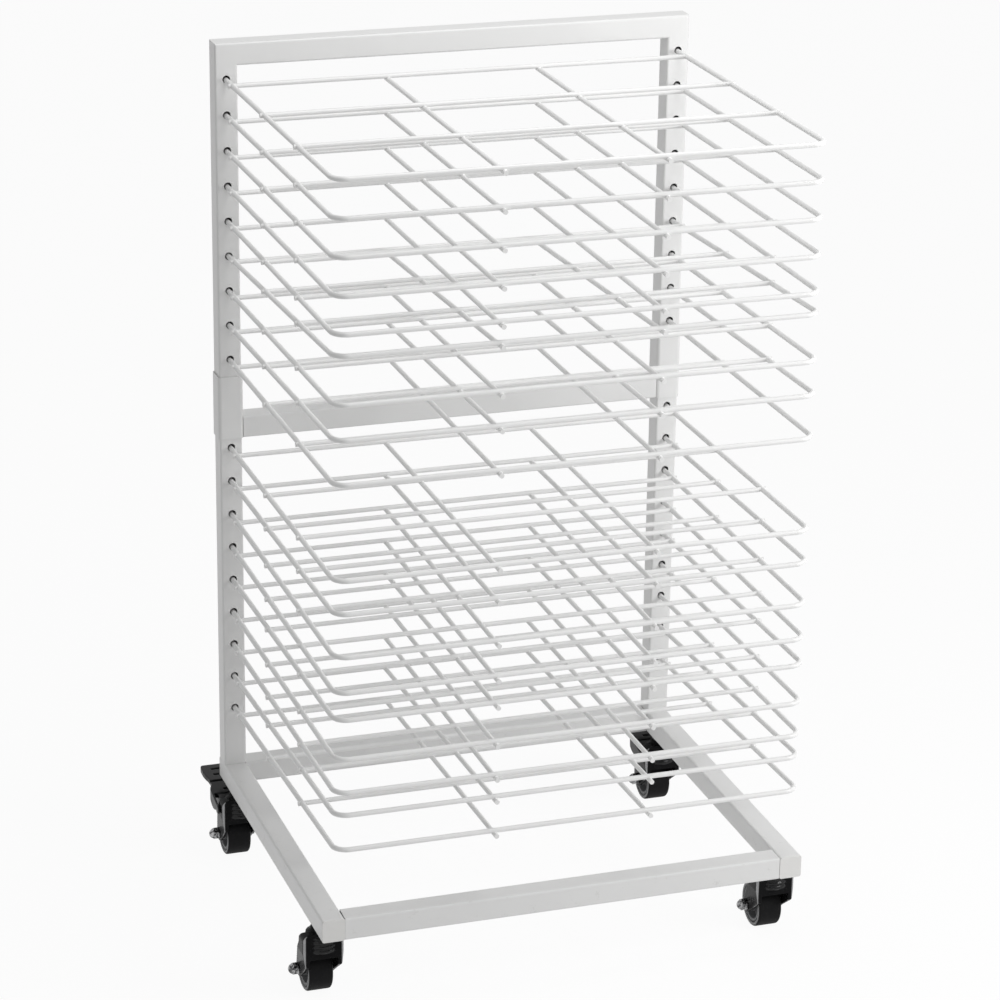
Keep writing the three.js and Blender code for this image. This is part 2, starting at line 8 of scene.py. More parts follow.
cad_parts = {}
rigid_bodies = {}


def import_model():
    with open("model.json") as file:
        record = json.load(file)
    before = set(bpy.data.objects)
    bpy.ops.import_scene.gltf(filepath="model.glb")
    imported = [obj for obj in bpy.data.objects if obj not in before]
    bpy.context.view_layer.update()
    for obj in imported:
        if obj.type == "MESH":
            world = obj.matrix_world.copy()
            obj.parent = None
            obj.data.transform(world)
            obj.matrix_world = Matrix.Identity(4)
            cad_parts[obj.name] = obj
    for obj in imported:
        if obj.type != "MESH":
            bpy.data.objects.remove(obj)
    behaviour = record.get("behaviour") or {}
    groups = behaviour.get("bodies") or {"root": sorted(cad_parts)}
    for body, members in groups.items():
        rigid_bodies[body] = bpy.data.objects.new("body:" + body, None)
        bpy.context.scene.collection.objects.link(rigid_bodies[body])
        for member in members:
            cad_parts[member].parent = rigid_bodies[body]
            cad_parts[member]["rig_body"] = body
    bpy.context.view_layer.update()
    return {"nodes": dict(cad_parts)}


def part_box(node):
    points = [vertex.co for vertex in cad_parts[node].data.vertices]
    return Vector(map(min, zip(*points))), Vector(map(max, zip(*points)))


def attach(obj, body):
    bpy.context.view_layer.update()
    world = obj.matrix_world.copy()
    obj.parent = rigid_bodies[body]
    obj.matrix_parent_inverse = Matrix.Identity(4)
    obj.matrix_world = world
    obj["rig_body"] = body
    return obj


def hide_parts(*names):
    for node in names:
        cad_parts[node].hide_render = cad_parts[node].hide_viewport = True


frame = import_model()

# Base of the rack: two side rails joined by one bar at the front and one at the back.
# All four are rolled square steel tube with rounded corners, cut square and butted together.
# They are powder coated white after welding, which leaves a fine line at each butted end.
rack_middle = 0.00205
upright_face = 0.177375
tube_width = 0.025
tube_wall = 0.0015
tube_corner = 0.0025
tube_edge = 0.0004
fine_edge = 0.0003
butt_gap = 0.0006
butt_slant = 0.03
sharp_fold = math.radians(35)
bevel_fold = math.radians(40)


class Socket:
    """An output socket of a node tree. Arithmetic on it adds Math nodes to the tree."""

    def __init__(self, tree, output=None):
        self.tree = tree
        self.output = output

    def node(self, kind, settings=None, sockets=None, take=0):
        made = self.tree.nodes.new(kind)
        for name, value in (settings or {}).items():
            setattr(made, name, value)
        for key, value in (sockets or {}).items():
            for given in value if isinstance(value, list) else [value]:
                if isinstance(given, Socket):
                    self.tree.links.new(given.output, made.inputs[key])
                else:
                    made.inputs[key].default_value = given
        return Socket(self.tree, made.outputs[take] if len(made.outputs) else None)

    def maths(self, operation, first, second=0.0):
        return self.node("ShaderNodeMath", {"operation": operation}, {0: first, 1: second})

    def __add__(self, other):
        return self.maths("ADD", self, other)

    def __radd__(self, other):
        return self.maths("ADD", other, self)

    def __sub__(self, other):
        return self.maths("SUBTRACT", self, other)

    def __rsub__(self, other):
        return self.maths("SUBTRACT", other, self)

    def __mul__(self, other):
        return self.maths("MULTIPLY", self, other)

    def __truediv__(self, other):
        return self.maths("DIVIDE", self, other)

    def __neg__(self):
        return self.maths("MULTIPLY", self, -1.0)

    def __gt__(self, other):
        return self.maths("GREATER_THAN", self, other)


def new_finish(name):
    finish = bpy.data.materials.new(name)
    finish.use_nodes = True
    finish.node_tree.nodes.clear()
    return finish, Socket(finish.node_tree)


def noise_on(tree, spot, scale, detail, roughness=0.5):
    sizes = {"Vector": spot, "Scale": scale, "Detail": detail, "Roughness": roughness}
    return tree.node("ShaderNodeTexNoise", {}, sizes)


def ramp_between(tree, value, low, high):
    ends = {"Value": value, "From Min": low, "From Max": high}
    return tree.node("ShaderNodeMapRange", {"interpolation_type": "SMOOTHSTEP"}, ends)


def mix_colours(tree, share, first, second):
    return tree.node("ShaderNodeMix", {"data_type": "RGBA"}, {0: share, 6: first, 7: second}, 2)


def bump_from(tree, height, strength, distance):
    sizes = {"Strength": strength, "Distance": distance, "Height": height}
    return tree.node("ShaderNodeBump", {}, sizes)


def close_finish(tree, sockets):
    shader = tree.node("ShaderNodeBsdfPrincipled", {}, sockets)
    tree.node("ShaderNodeOutputMaterial", {}, {"Surface": shader})


def powder_coat(name, dull, bright):
    """Baked white powder: fine orange peel, a faint cloudiness and a few scuffs near the floor."""
    made, coat = new_finish(name)
    spot = coat.node("ShaderNodeTexCoord", take="Object")
    orange_peel = noise_on(coat, spot, scale=620.0, detail=2.0)
    cloud = noise_on(coat, spot, scale=11.0, detail=4.0)
    rub_marks = noise_on(coat, spot, scale=95.0, detail=6.0, roughness=0.72)
    height = coat.node("ShaderNodeSeparateXYZ", {}, {"Vector": spot}, "Z")
    near_floor = ramp_between(coat, height, low=0.150, high=0.085)
    scuff = near_floor * ramp_between(coat, rub_marks, low=0.58, high=0.70)
    dull_white = (dull, dull, dull - 0.005, 1.0)
    bright_white = (bright, bright, bright - 0.005, 1.0)
    scuff_grey = (0.50, 0.49, 0.47, 1.0)
    coat_white = mix_colours(coat, cloud, dull_white, bright_white)
    coat_colour = mix_colours(coat, scuff * 0.30, coat_white, scuff_grey)
    coat_bump = bump_from(coat, orange_peel, strength=0.10, distance=0.0003)
    close_finish(coat, {
        "Base Color": coat_colour,
        "Roughness": 0.30 + cloud * 0.14 + scuff * 0.15,
        "Normal": coat_bump,
    })
    return made


white_coat = powder_coat("white_powder_coat", dull=0.77, bright=0.82)


def shaping_tree(name, sizes):
    tree = bpy.data.node_groups.new(name, "GeometryNodeTree")
    tree.interface.new_socket("Shape", in_out="OUTPUT", socket_type="NodeSocketGeometry")
    for label, kind in sizes.items():
        tree.interface.new_socket(label, in_out="INPUT", socket_type="NodeSocket" + kind)
    entry = tree.nodes.new("NodeGroupInput")
    given = {label: Socket(tree, entry.outputs[label]) for label in sizes}
    return tree, Socket(tree), given


def close_tree(maker, shape, finish):
    whole = maker.node("GeometryNodeRealizeInstances", {}, {"Geometry": shape})
    fold = maker.node("GeometryNodeInputMeshEdgeAngle", take="Unsigned Angle") > sharp_fold
    marked = maker.node(
        "GeometryNodeStoreNamedAttribute",
        {"data_type": "BOOLEAN", "domain": "EDGE"},
        {"Geometry": whole, "Name": "sharp_edge", "Value": fold},
    )
    smooth = maker.node("GeometryNodeSetShadeSmooth", {}, {"Geometry": marked})
    painted = maker.node("GeometryNodeSetMaterial", {}, {"Geometry": smooth, "Material": finish})
    maker.node("NodeGroupOutput", {}, {"Shape": painted})


def grow(name, tree, sizes, place, edge=0.0):
    piece = bpy.data.objects.new(name, bpy.data.meshes.new(name))
    bpy.context.scene.collection.objects.link(piece)
    shaper = piece.modifiers.new("shape", "NODES")
    shaper.node_group = tree
    for entry in tree.interface.items_tree:
        if entry.in_out == "INPUT":
            shaper[entry.identifier] = sizes[entry.name]
    return settle(piece, place, edge)


def settle(piece, place, edge):
    if edge > 0:
        rounding = piece.modifiers.new("edge", "BEVEL")
        rounding.width = edge
        rounding.segments = 3
        rounding.limit_method = "ANGLE"
        rounding.angle_limit = bevel_fold
        rounding.use_clamp_overlap = False
    flats = piece.modifiers.new("flats", "WEIGHTED_NORMAL")
    flats.keep_sharp = True
    made = bpy.data.meshes.new_from_object(
        piece.evaluated_get(bpy.context.evaluated_depsgraph_get())
    )
    piece.modifiers.clear()
    made.transform(place)
    piece.data = made
    return piece


tube_tree, tube, given = shaping_tree("square_tube", {
    "Length": "Float",
    "Width": "Float",
    "Wall": "Float",
    "Corner": "Float",
    "Start mitre": "Float",
    "End mitre": "Float",
    "Hole rows": "Int",
    "First hole": "Float",
    "Hole pitch": "Float",
    "Front hole": "Float",
    "Rear hole": "Float",
    "Rear drop": "Float",
    "Finish": "Material",
})


def rounded_bar(width, corner, start, end):
    sides = {"Width": width, "Height": width}
    square = tube.node("GeometryNodeCurvePrimitiveQuadrilateral", {"mode": "RECTANGLE"}, sides)
    bend = {"Curve": square, "Count": 5, "Radius": corner, "Limit Radius": True}
    outline = tube.node("GeometryNodeFilletCurve", {"mode": "POLY"}, bend)
    low = tube.node("ShaderNodeCombineXYZ", {}, {"Z": start})
    high = tube.node("ShaderNodeCombineXYZ", {}, {"Z": end})
    line = tube.node("GeometryNodeCurvePrimitiveLine", {}, {"Start": low, "End": high})
    swept = {"Curve": line, "Profile Curve": outline, "Fill Caps": True}
    return tube.node("GeometryNodeCurveToMesh", {}, swept)


def mitred(shape, mitre, at_end):
    point = tube.node("GeometryNodeInputPosition")
    x = tube.node("ShaderNodeSeparateXYZ", {}, {"Vector": point}, "X")
    z = tube.node("ShaderNodeSeparateXYZ", {}, {"Vector": point}, "Z")
    past_middle = z > given["Length"] * 0.5
    chosen = past_middle if at_end else 1 - past_middle
    cut = given["Width"] * 0.5 * tube.maths("ABSOLUTE", mitre) + mitre * x
    move = tube.node("ShaderNodeCombineXYZ", {}, {"Z": -cut if at_end else cut})
    return tube.node(
        "GeometryNodeSetPosition", {}, {"Geometry": shape, "Selection": chosen, "Offset": move}
    )


def hole_row(diameter, y, drop):
    start = tube.node("ShaderNodeCombineXYZ", {}, {"Y": y, "Z": given["First hole"] - drop})
    step = tube.node("ShaderNodeCombineXYZ", {}, {"Z": given["Hole pitch"]})
    rows = {"Count": given["Hole rows"], "Start Location": start, "Offset": step}
    points = tube.node("GeometryNodeMeshLine", {}, rows)
    round_bar = {"Vertices": 24, "Radius": diameter * 0.5, "Depth": given["Width"] * 0.5}
    bar = tube.node("GeometryNodeMeshCylinder", {}, round_bar)
    turned_bar = tube.node(
        "GeometryNodeTransform", {}, {"Geometry": bar, "Rotation": (math.pi / 2, 0.0, 0.0)}
    )
    drills = tube.node(
        "GeometryNodeInstanceOnPoints", {}, {"Points": points, "Instance": turned_bar}
    )
    return tube.node("GeometryNodeRealizeInstances", {}, {"Geometry": drills})


skin = rounded_bar(given["Width"], given["Corner"], 0.0, given["Length"])
skin = mitred(mitred(skin, given["Start mitre"], False), given["End mitre"], True)
bore_width = given["Width"] - given["Wall"] * 2.0
bore_corner = given["Corner"] * 0.6
past_end = 0.05
bore = rounded_bar(bore_width, bore_corner, -past_end, given["Length"] + past_end)
front_holes = hole_row(given["Front hole"], given["Width"] * -0.5, 0.0)
rear_holes = hole_row(given["Rear hole"], given["Width"] * 0.5, given["Rear drop"])
hollow = tube.node(
    "GeometryNodeMeshBoolean",
    {"operation": "DIFFERENCE", "solver": "EXACT"},
    {"Mesh 1": skin, "Mesh 2": bore},
)
pierced = tube.node(
    "GeometryNodeMeshBoolean",
    {"operation": "DIFFERENCE", "solver": "EXACT"},
    {"Mesh 1": hollow, "Mesh 2": [front_holes, rear_holes]},
)
close_tree(tube, pierced, given["Finish"])


def lay_tube(node, along, changes=None, edge=tube_edge, roll=0.0, reach=0.0):
    low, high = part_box(node)
    middle = (low + high) / 2
    run = "XYZ".index(along)
    start = middle.copy()
    start[run] = low[run] - reach
    sizes = {
        "Length": high[run] - low[run] + reach * 2,
        "Width": tube_width,
        "Wall": tube_wall,
        "Corner": tube_corner,
        "Start mitre": 0.0,
        "End mitre": 0.0,
        "Hole rows": 0,
        "First hole": 0.1,
        "Hole pitch": 0.1,
        "Front hole": 0.008,
        "Rear hole": 0.006,
        "Rear drop": 0.0,
        "Finish": white_coat,
    }
    sizes.update(changes or {})
    turn = {
        "X": Matrix.Rotation(math.pi / 2, 4, "Y"),
        "Y": Matrix.Rotation(-math.pi / 2, 4, "X"),
        "Z": Matrix.Identity(4),
    }[along]
    place = Matrix.Translation(start) @ turn @ Matrix.Rotation(roll, 4, "Z")
    piece = grow(node + "_tube", tube_tree, sizes, place, edge)
    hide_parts(node)
    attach(piece, "frame")


for side in ("left", "right"):
    lay_tube("side_rail_" + side, "Y")
low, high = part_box("front_bar")
butted = {"Start mitre": butt_slant, "Length": high.x - low.x - butt_gap}
lay_tube("front_bar", "X", butted, edge=0.0, roll=math.pi / 2)
lay_tube("rear_base_bar", "X", edge=fine_edge)

# Rail plugs: four moulded caps pressed into the open ends of the side rails.
# Each has a flange as wide as the tube, with a softened outer edge, and a hollow plug behind it.
# They are white polyethylene, a little warmer and duller than the paint.
flange_depth = 0.002
plug_width = 0.0214
plug_corner = 0.0015
plug_depth = 0.010
plug_wall = 0.002
plug_bore_corner = 0.001
cap_edge = 0.0005

cap_plastic, cap = new_finish("white_cap_plastic")
spot = cap.node("ShaderNodeTexCoord", take="Object")
mould_grain = noise_on(cap, spot, scale=1400.0, detail=3.0)
handling = noise_on(cap, spot, scale=60.0, detail=4.0, roughness=0.65)
cap_colour = mix_colours(cap, handling, (0.74, 0.735, 0.72, 1.0), (0.80, 0.795, 0.78, 1.0))
cap_bump = bump_from(cap, mould_grain, strength=0.12, distance=0.0002)
close_finish(cap, {
    "Base Color": cap_colour,
    "Roughness": 0.46 + handling * 0.16,
    "Normal": cap_bump,
})


def rounded_square(width, corner, steps):
    reach = width / 2 - corner
    points = []
    for turn in range(4):
        for step in range(steps + 1):
            angle = (turn + step / steps) * math.pi / 2
            across = math.copysign(reach, math.cos(turn * math.pi / 2 + math.pi / 4))
            along = math.copysign(reach, math.sin(turn * math.pi / 2 + math.pi / 4))
            points.append((across + corner * math.cos(angle), along + corner * math.sin(angle)))
    return points


def prism(outline, low, high):
    shape = bmesh.new()
    near = [shape.verts.new((a, b, low)) for a, b in outline]
    far = [shape.verts.new((a, b, high)) for a, b in outline]
    shape.faces.new(near[::-1])
    shape.faces.new(far)
    for one in range(len(outline)):
        two = (one + 1) % len(outline)
        shape.faces.new((near[one], near[two], far[two], far[one]))
    bmesh.ops.recalc_face_normals(shape, faces=shape.faces)
    return shape


def shape_object(name, shape):
    mesh = bpy.data.meshes.new(name)
    shape.to_mesh(mesh)
    shape.free()
    mesh.shade_smooth()
    made = bpy.data.objects.new(name, mesh)
    bpy.context.scene.collection.objects.link(made)
    return made


def assemble(name, body, steps, finish, place, edge):
    piece = shape_object(name, body)
    piece.data.materials.append(finish)
    tools = []
    for operation, shape in steps:
        tool = shape_object(name + "_tool", shape)
        tool.data.materials.append(finish)
        cut = piece.modifiers.new(operation.lower(), "BOOLEAN")
        cut.operation = operation
        cut.solver = "EXACT"
        cut.object = tool
        tools.append(tool)
    settle(piece, place, edge)
    for tool in tools:
        bpy.data.objects.remove(tool)
    return piece


for end, outward in (("front", -1), ("rear", 1)):
    for side in ("left", "right"):
        node = "rail_cap_" + end + "_" + side
        low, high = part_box(node)
        middle = (low + high) / 2
        face_y = low.y if outward < 0 else high.y
        turn = Matrix.Rotation(-outward * math.pi / 2, 4, "X")
        flange = prism(rounded_square(tube_width, tube_corner, 6), -flange_depth, 0.0)
        plug = prism(rounded_square(plug_width, plug_corner, 3), -plug_depth, -flange_depth / 2)
        bore_outline = rounded_square(plug_width - 2 * plug_wall, plug_bore_corner, 2)
        hollow_out = prism(bore_outline, -plug_depth - 0.001, -flange_depth)
        place = Matrix.Translation((middle.x, face_y, middle.z)) @ turn
        steps = [("UNION", plug), ("DIFFERENCE", hollow_out)]
        piece = assemble(node + "_plug", flange, steps, cap_plastic, place, cap_edge)
        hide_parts(node)
        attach(piece, "frame")

# Base spigots: short lengths of smaller square tube welded upright on the rear ends of the rails.
# They are hidden, because the lower uprights are pushed down over them and stand on the rails.
spigot = {"Width": 0.0214, "Wall": tube_wall, "Corner": 0.0012}
for side in ("left", "right"):
    lay_tube("base_spigot_" + side, "Z", spigot)

# Lower uprights: square tubes with nine holes in the front wall for the ends of the shelf wires.
# Each front hole is wide, the one behind it in the rear wall is snug and a little lower.
# The holes are drilled before painting, so the coat runs over their edges.
hole_rows = 9
hole_pitch = 0.039
front_hole = 0.0085
rear_hole = 0.0061
wire_sag = 0.001245
lower_first_hole = 0.185
upper_first_hole = 0.599


def hole_sizes(first_hole, foot):
    return {
        "Hole rows": hole_rows,
        "First hole": first_hole - foot,
        "Hole pitch": hole_pitch,
        "Front hole": front_hole,
        "Rear hole": rear_hole,
        "Rear drop": wire_sag,
    }


for side in ("left", "right"):
    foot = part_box("lower_upright_" + side)[0].z
    lay_tube("lower_upright_" + side, "Z", hole_sizes(lower_first_hole, foot), edge=fine_edge)

# Joint sockets and middle crossbar: two sleeves in which the upper and lower uprights meet.
# The crossbar is a length of the frame tube, welded between the sleeves level with their feet.
sleeve = {"Width": 0.028, "Wall": 0.0012, "Corner": 0.0040}
for side in ("left", "right"):
    lay_tube("joint_socket_" + side, "Z", sleeve)
lay_tube("middle_crossbar", "X", edge=0.0)

# Upper uprights and top bar: the top of the frame, mitred at 45 degrees and welded.
# The welds are ground flush before painting, so no seam shows at the two top corners.
# The bar reaches out to the outer sides of the uprights, where the mitres close.
frame_top = 0.950
for side, lean in (("left", 1.0), ("right", -1.0)):
    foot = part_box("upper_upright_" + side)[0].z
    sizes = hole_sizes(upper_first_hole, foot)
    sizes["End mitre"] = lean
    sizes["Length"] = frame_top - foot
    lay_tube("upper_upright_" + side, "Z", sizes, edge=0.0)
weld_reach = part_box("top_bar")[0].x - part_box("upper_upright_left")[0].x
lay_tube("top_bar", "X", {"Start mitre": 1.0, "End mitre": 1.0}, edge=0.0, reach=weld_reach)

# Wire shelves: eighteen trays, each one bent frame wire with three wires across and two lengthwise.
# The wires are steel, resistance welded where they cross, with short tails left past the welds.
# The ends of the frame wire slide into the uprights, and some trays have settled at a slight tilt.
shelf_count = 18
side_wire_x = 0.2565
shelf_depth = 0.416
wire_tail = 0.028
shelf_corner = 0.015
frame_wire = 0.0055
cross_wire = 0.0052
cross_rows = 3
back_setback = 0.025
cross_tail = 0.0018
long_drop = 0.0036
long_nub = 0.0055
long_bead_share = 0.62
side_bead_share = 0.56
grip_y = 0.02425
front_lift_degrees = (0, 0, 0, 0, 0, 2.2, 0.7, 1, 0, 0, 0.4, -0.6, -0.6, 0.6, 0, 0.2, 2, 2)
# Painted light: the wires get a brighter copy of the white powder coat, which stands in for more
# even light on their shaded undersides.
wire_coat_painted_light = powder_coat("white_wire_coat_painted_light", dull=0.84, bright=0.88)

shelf_tree, tray, given = shaping_tree("wire_shelf", {
    "Half width": "Float",
    "Depth": "Float",
    "Wire tail": "Float",
    "Corner radius": "Float",
    "Frame wire": "Float",
    "Cross wire": "Float",
    "Back setback": "Float",
    "Cross rows": "Int",
    "Cross tail": "Float",
    "Lengthwise drop": "Float",
    "Lengthwise nub": "Float",
    "Finish": "Material",
})


def wire_along(path, diameter):
    outline = tray.node(
        "GeometryNodeCurvePrimitiveCircle", {}, {"Resolution": 14, "Radius": diameter * 0.5}
    )
    swept = {"Curve": path, "Profile Curve": outline, "Fill Caps": True}
    return tray.node("GeometryNodeCurveToMesh", {}, swept)


def vector_of(x=0.0, y=0.0, z=0.0):
    return tray.node("ShaderNodeCombineXYZ", {}, {"X": x, "Y": y, "Z": z})


def points_from(count, start, step):
    rows = {"Count": count, "Start Location": start, "Offset": step}
    return tray.node("GeometryNodeMeshLine", {}, rows)


def copies_on(points, shape):
    return tray.node("GeometryNodeInstanceOnPoints", {}, {"Points": points, "Instance": shape})


corner_number = tray.node("GeometryNodeInputIndex") - 1.5
at_tail = tray.maths("ABSOLUTE", corner_number) > 1.0
corner_x = tray.maths("SIGN", corner_number) * given["Half width"]
corner_y = at_tail * (given["Wire tail"] + given["Depth"]) - given["Depth"]
corners = tray.node("GeometryNodeSetPosition", {}, {
    "Geometry": points_from(4, (0.0, 0.0, 0.0), (0.0, 0.0, 0.01)),
    "Position": vector_of(corner_x, corner_y),
})
bent = tray.node("GeometryNodeFilletCurve", {"mode": "POLY"}, {
    "Curve": tray.node("GeometryNodeMeshToCurve", {}, {"Mesh": corners}),
    "Count": 10,
    "Radius": given["Corner radius"],
})
frame_shape = wire_along(bent, given["Frame wire"])

cross_step = (given["Depth"] - given["Back setback"]) / given["Cross rows"]
cross_points = points_from(
    given["Cross rows"], vector_of(y=-given["Back setback"]), vector_of(y=-cross_step)
)
cross_reach = given["Half width"] + given["Frame wire"] * 0.5 + given["Cross tail"]
cross_line = tray.node("GeometryNodeCurvePrimitiveLine", {}, {
    "Start": vector_of(-cross_reach),
    "End": vector_of(cross_reach),
})
cross_shape = copies_on(cross_points, wire_along(cross_line, given["Cross wire"]))

long_x = given["Half width"] / 3.0
long_points = points_from(
    2, vector_of(-long_x, z=-given["Lengthwise drop"]), vector_of(long_x * 2.0)
)
long_front = given["Depth"] + given["Frame wire"] * 0.5 + given["Lengthwise nub"]
long_line = tray.node("GeometryNodeCurvePrimitiveLine", {}, {
    "Start": vector_of(y=given["Cross wire"] - given["Back setback"]),
    "End": vector_of(y=-long_front),
})
long_shape = copies_on(long_points, wire_along(long_line, given["Cross wire"]))

bead = tray.node("GeometryNodeMeshUVSphere", {}, {
    "Segments": 10,
    "Rings": 6,
    "Radius": given["Cross wire"] * long_bead_share,
})
first_bead = vector_of(y=-given["Back setback"], z=given["Lengthwise drop"] * 0.5)
bead_rows = points_from(given["Cross rows"] + 1, first_bead, vector_of(y=-cross_step))
long_beads = copies_on(long_points, copies_on(bead_rows, bead))
side_bead = tray.node("GeometryNodeMeshUVSphere", {}, {
    "Segments": 12,
    "Rings": 6,
    "Radius": given["Frame wire"] * side_bead_share,
})
side_points = points_from(2, vector_of(-given["Half width"]), vector_of(given["Half width"] * 2.0))
side_beads = copies_on(side_points, copies_on(cross_points, side_bead))
whole_tray = tray.node(
    "GeometryNodeJoinGeometry",
    {},
    {"Geometry": [frame_shape, cross_shape, long_shape, long_beads, side_beads]},
)
close_tree(tray, whole_tray, given["Finish"])

for number in range(1, shelf_count + 1):
    body = "shelf_%02d" % number
    upper = number <= hole_rows
    row = (hole_rows if upper else shelf_count) - number
    hole_z = (upper_first_hole if upper else lower_first_hole) + row * hole_pitch
    tilt = math.radians(front_lift_degrees[number - 1])
    grip = Matrix.Translation((0.0, grip_y, 0.0))
    rest = Matrix.Translation((rack_middle, upright_face, hole_z - wire_sag))
    place = rest @ grip @ Matrix.Rotation(-tilt, 4, "X") @ grip.inverted()
    piece = grow(body + "_wires", shelf_tree, {
        "Half width": side_wire_x,
        "Depth": shelf_depth,
        "Wire tail": wire_tail,
        "Corner radius": shelf_corner,
        "Frame wire": frame_wire,
        "Cross wire": cross_wire,
        "Back setback": back_setback,
        "Cross rows": cross_rows,
        "Cross tail": cross_tail,
        "Lengthwise drop": long_drop,
        "Lengthwise nub": long_nub,
        "Finish": wire_coat_painted_light,
    }, place)
    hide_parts("wire_" + body)
    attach(piece, body)

# Caster stems: a plated steel stem riveted through the fork and screwed up into the rail.
# A six-sided nut locks it against the underside of the rail, with a thin washer below it.
stem_spread = 0.2565
front_setback = 0.354
rear_setback = 0.0105
caster_places = {
    "front_left": (rack_middle - stem_spread, upright_face - front_setback),
    "rear_left": (rack_middle - stem_spread, upright_face - rear_setback),
    "front_right": (rack_middle + stem_spread, upright_face - front_setback),
    "rear_right": (rack_middle + stem_spread, upright_face - rear_setback),
}
rail_under = 0.090
stem_nut_radius = 0.0095
stem_nut_height = 0.004
stem_edge = 0.0002
washer_radius = 0.0088
washer_low = 0.0852
washer_high = 0.0862
fork_top = 0.0817
fork_plate = 0.004
stem_radius = 0.005
stem_tip = 0.0135
rivet_radius = 0.0075
rivet_height = 0.0030
rivet_low = fork_top - fork_plate - 0.0033

zinc_plate, zinc = new_finish("zinc_steel")
spot = zinc.node("ShaderNodeTexCoord", take="Object")
crystal = zinc.node("ShaderNodeTexVoronoi", {}, {"Vector": spot, "Scale": 900.0}, "Color")
spangle = zinc.node("ShaderNodeSeparateColor", {}, {"Color": crystal}, "Red")
blotches = noise_on(zinc, spot, scale=300.0, detail=4.0, roughness=0.6)
tarnish = ramp_between(zinc, blotches, low=0.40, high=0.62)
zinc_colour = mix_colours(zinc, tarnish, (0.05, 0.05, 0.052, 1.0), (0.42, 0.42, 0.425, 1.0))
fine_turning = noise_on(zinc, spot, scale=2600.0, detail=2.0)
zinc_bump = bump_from(zinc, fine_turning, strength=0.15, distance=0.0001)
close_finish(zinc, {
    "Base Color": zinc_colour,
    "Metallic": 1.0,
    "Roughness": 0.14 + spangle * 0.08 + tarnish * 0.10,
    "Normal": zinc_bump,
})


def polygon(radius, sides):
    turns = [2 * math.pi * step / sides for step in range(sides)]
    return [(radius * math.cos(turn), radius * math.sin(turn)) for turn in turns]


def turned(profile, sides, closed=False):
    """Rings of points about the Z axis from (radius, height) pairs, joined face to face."""
    shape = bmesh.new()
    rings = []
    for radius, level in profile:
        if radius == 0:
            rings.append([shape.verts.new((0.0, 0.0, level))])
        else:
            rings.append([shape.verts.new((a, b, level)) for a, b in polygon(radius, sides)])
    pairs = list(zip(rings, rings[1:]))
    if closed:
        pairs.append((rings[-1], rings[0]))
    for low, high in pairs:
        for one in range(sides):
            two = (one + 1) % sides
            below = [low[one % len(low)], low[two % len(low)]]
            above = [high[two % len(high)], high[one % len(high)]]
            shape.faces.new(list(dict.fromkeys(below + above)))
    bmesh.ops.recalc_face_normals(shape, faces=shape.faces)
    return shape


def hexagon_nut(radius, low, high):
    """A six-sided nut with its corners turned off at both faces."""
    body = prism(polygon(radius, 6), low, high)
    rim = radius * 0.90
    slope = radius * 0.10
    outside = radius * 1.05
    cone = turned([
        (0, low),
        (rim, low),
        (outside, low + slope),
        (outside, high - slope),
        (rim, high),
        (0, high),
    ], 32)
    return body, ("INTERSECT", cone)


for place_name, (x, y) in caster_places.items():
    nut, corners_off = hexagon_nut(stem_nut_radius, rail_under - stem_nut_height, rail_under)
    washer = turned([
        (0, washer_low),
        (washer_radius, washer_low),
        (washer_radius, washer_high),
        (0, washer_high),
    ], 32)
    shank = turned([
        (0, rivet_low),
        (rivet_radius - 0.0025, rivet_low),
        (rivet_radius - 0.0007, rivet_low + 0.0006),
        (rivet_radius, rivet_low + 0.0016),
        (rivet_radius, rivet_low + rivet_height),
        (stem_radius, rivet_low + rivet_height),
        (stem_radius, rail_under + stem_tip - 0.0010),
        (stem_radius - 0.0008, rail_under + stem_tip),
        (0, rail_under + stem_tip),
    ], 24)
    steps = [corners_off, ("UNION", washer), ("UNION", shank)]
    place = Matrix.Translation((x, y, 0.0))
    piece = assemble("stem_" + place_name, nut, steps, zinc_plate, place, stem_edge)
    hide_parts("caster_stem_" + place_name)
    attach(piece, "frame")

# Caster forks: black moulded forks with two legs that step in towards the axle and a web in front.
# A ringed bearing cup stands out in front of the web, and the ring on top of it turns on the stem.
# The cup comes out of the mould glossy. A grey, partly metallic sheen is painted on the rounded
# front corners of the legs: a painted highlight.
wheel_trail = 0.022
axle_height = 0.0255
leg_inner = 0.015
leg_outer = 0.0185
fork_inner = 0.019
fork_outer = 0.0225
flare_low = 0.030
flare_high = 0.058
fork_front = 0.014
fork_shoulder = 0.009
front_corner = 0.004
leg_foot = 0.0435
web_foot = 0.0510
web_back = 0.0035 - fork_front
room_top = fork_top - fork_plate
web_cut_half = 0.0155
boss_radius = 0.009
axle_bore = 0.0043
running_gap = 0.0004
drill_half = 0.05
overcut = 0.002
cup_radius = 0.0185
cup_foot = fork_top - 0.0235
cup_edge = 0.0015
ring_pitch = 0.0052
ring_groove = 0.0014
groove_mouth = 0.0016
groove_floor = 0.0008
crown_radius = 0.0165
crown_neck = 0.0125
head_room = 0.0090
bearing_radius = 0.0110
bearing_height = 0.0033
pivot_z = fork_top - 0.0155
pin_radius = 0.003
mould_voxel = 0.0006
mould_keep = 0.14
# Where the painted highlight on the leg corners begins, and how quickly it grows as the surface
# turns to the side and the front.
sheen_start = 0.25
sheen_span = 0.25

